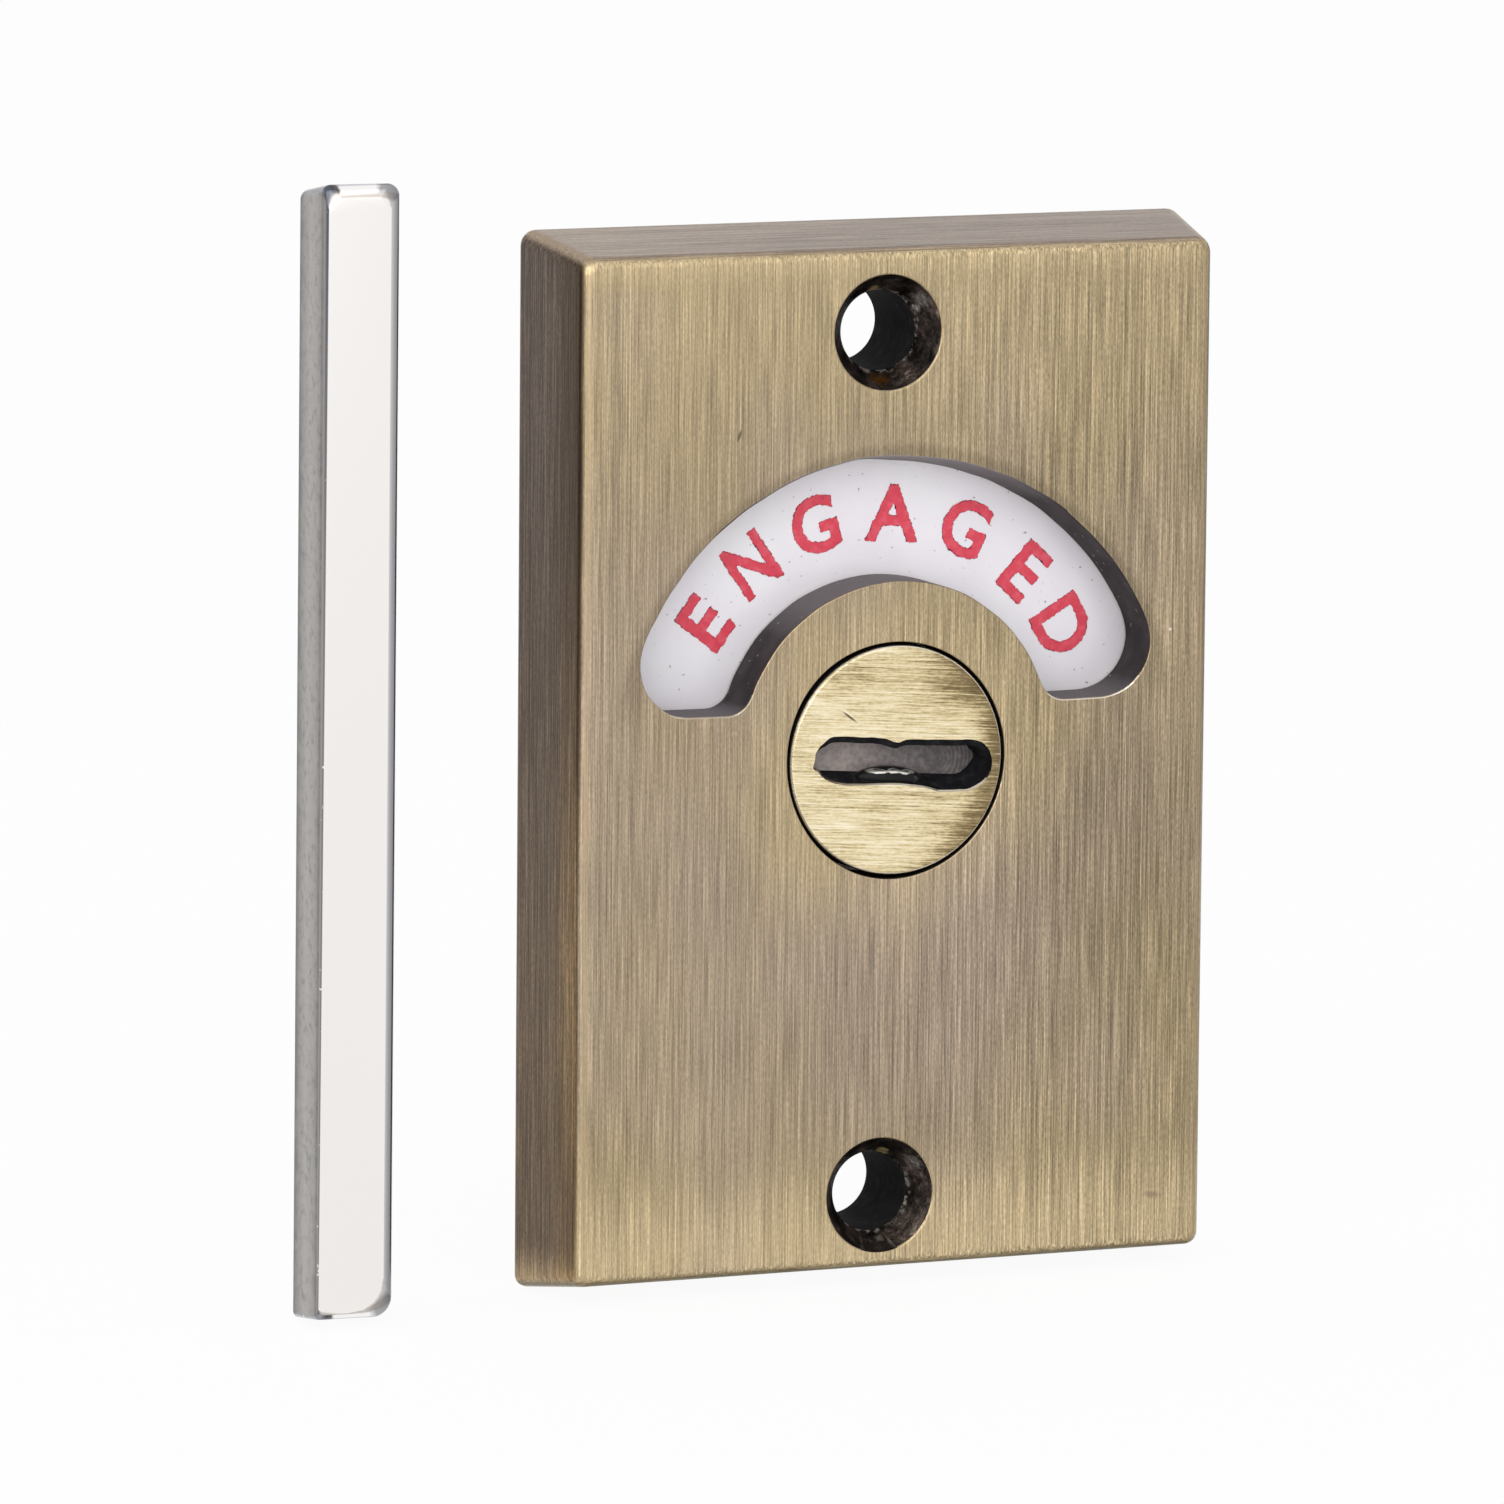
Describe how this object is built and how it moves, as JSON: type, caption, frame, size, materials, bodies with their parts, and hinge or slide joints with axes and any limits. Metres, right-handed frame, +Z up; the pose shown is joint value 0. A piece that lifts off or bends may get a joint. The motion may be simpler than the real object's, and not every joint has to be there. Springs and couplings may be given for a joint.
{
  "type": "toilet indicator bolt",
  "caption": "Rectangular brass privacy indicator plate with a coin-operated turn, an arc window over an enamelled status disc and a loose square drive spindle.",
  "frame": {"origin": "on the turning axis of the coin turn, in the plane of the plate's back face", "axes": "+Y from the front face through the plate into the door, +Z up, +X to the right seen from the front"},
  "size_m": [0.0736, 0.0114, 0.084],
  "materials": {
    "antique_brass": "brushed, antiqued",
    "polished_brass": "brushed",
    "plain_brass": "satin",
    "white_enamel": "gloss",
    "plain_steel": "satin",
    "bright_steel": "bright, lightly pitted",
    "nylon": "matte",
    "red_lettering": "satin",
    "blackened_recess": "matte"
  },
  "bodies": {
    "case": {"face_plate": "antique_brass", "back_cover": "plain_brass", "cover_screws": "plain_brass", "rear_bush": "nylon", "spring_washer": "plain_steel", "click_spring": "plain_steel", "click_rivets": "plain_steel"},
    "turn": {"coin_turn": "polished_brass", "indicator_disc": "white_enamel", "disc_rivets": "plain_steel", "stop_pin": "plain_steel", "front_washer": "nylon", "thrust_washer": "nylon"},
    "loose_spindle": {"spindle": "bright_steel"}
  },
  "joints": [
    {"name": "turn", "type": "hinge", "parent": "case", "child": "turn", "pos_m": [0, 0, 0], "axis": [0, -1, 0], "range_deg": [0, 180], "deforming": ["click_spring"]},
    {"name": "spindle_lift", "type": "slide", "parent": "case", "child": "loose_spindle", "axis": [0, 0, 1], "range_m": [0, 0.1]}
  ]
}
